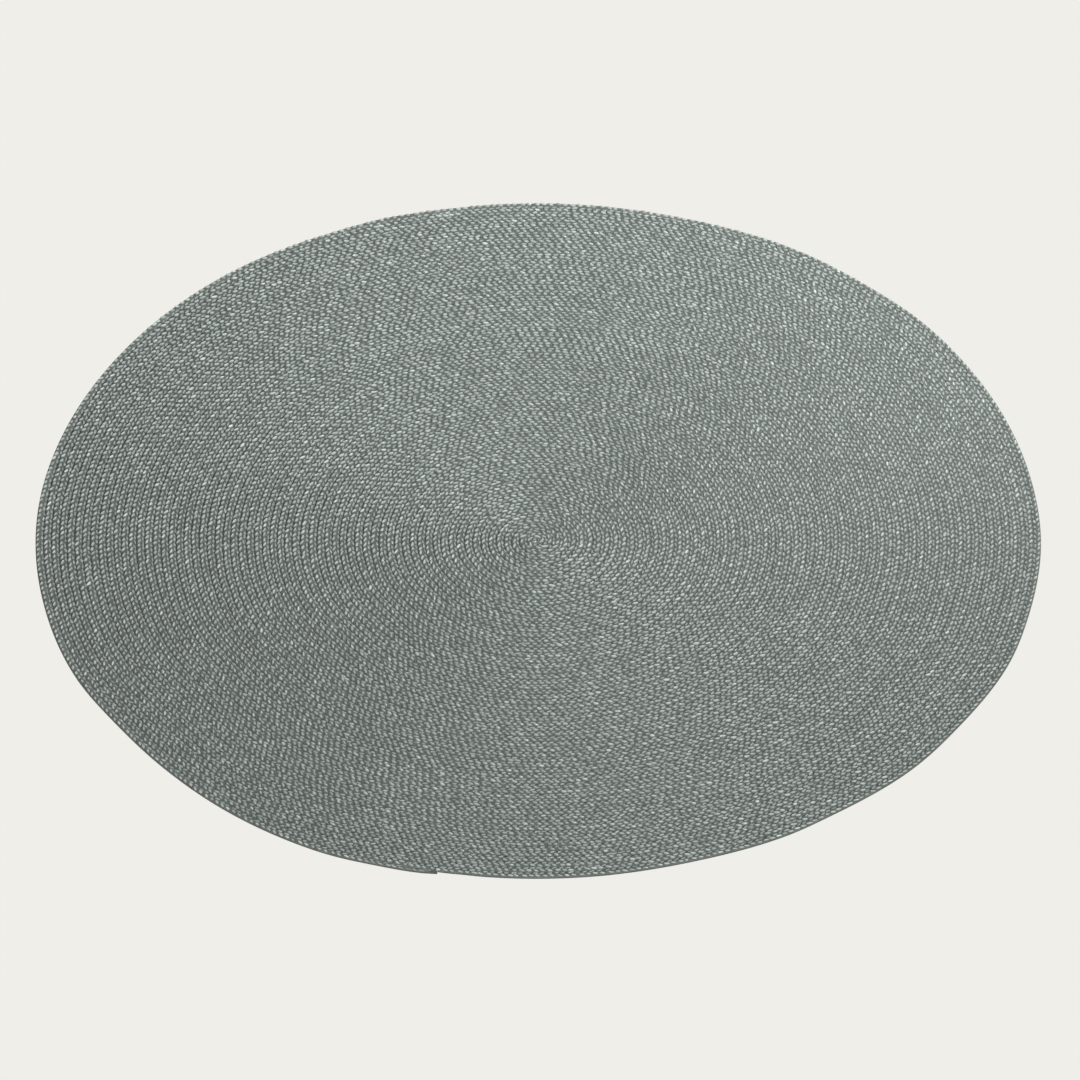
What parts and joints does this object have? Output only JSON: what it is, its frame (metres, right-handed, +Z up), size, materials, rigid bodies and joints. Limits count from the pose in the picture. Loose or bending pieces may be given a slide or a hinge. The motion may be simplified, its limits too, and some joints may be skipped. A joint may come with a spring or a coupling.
{
  "type": "round braided rug",
  "caption": "Flat round rug of one long three-strand braid, wound in a spiral and stitched turn to turn, with a slightly uneven edge.",
  "frame": {"origin": "on the floor, at the middle of the box round the rug's uneven edge", "axes": "+Z up through the rug's thickness; +Y towards the far side of the rug as pictured, +X to its right"},
  "size_m": [1.998, 1.9944, 0.0085],
  "materials": {
    "braid_yarn": "matt melange yarn, muted grey-green with pale flecks"
  },
  "bodies": {
    "root": {"braided_rug": "braid_yarn"}
  },
  "joints": []
}
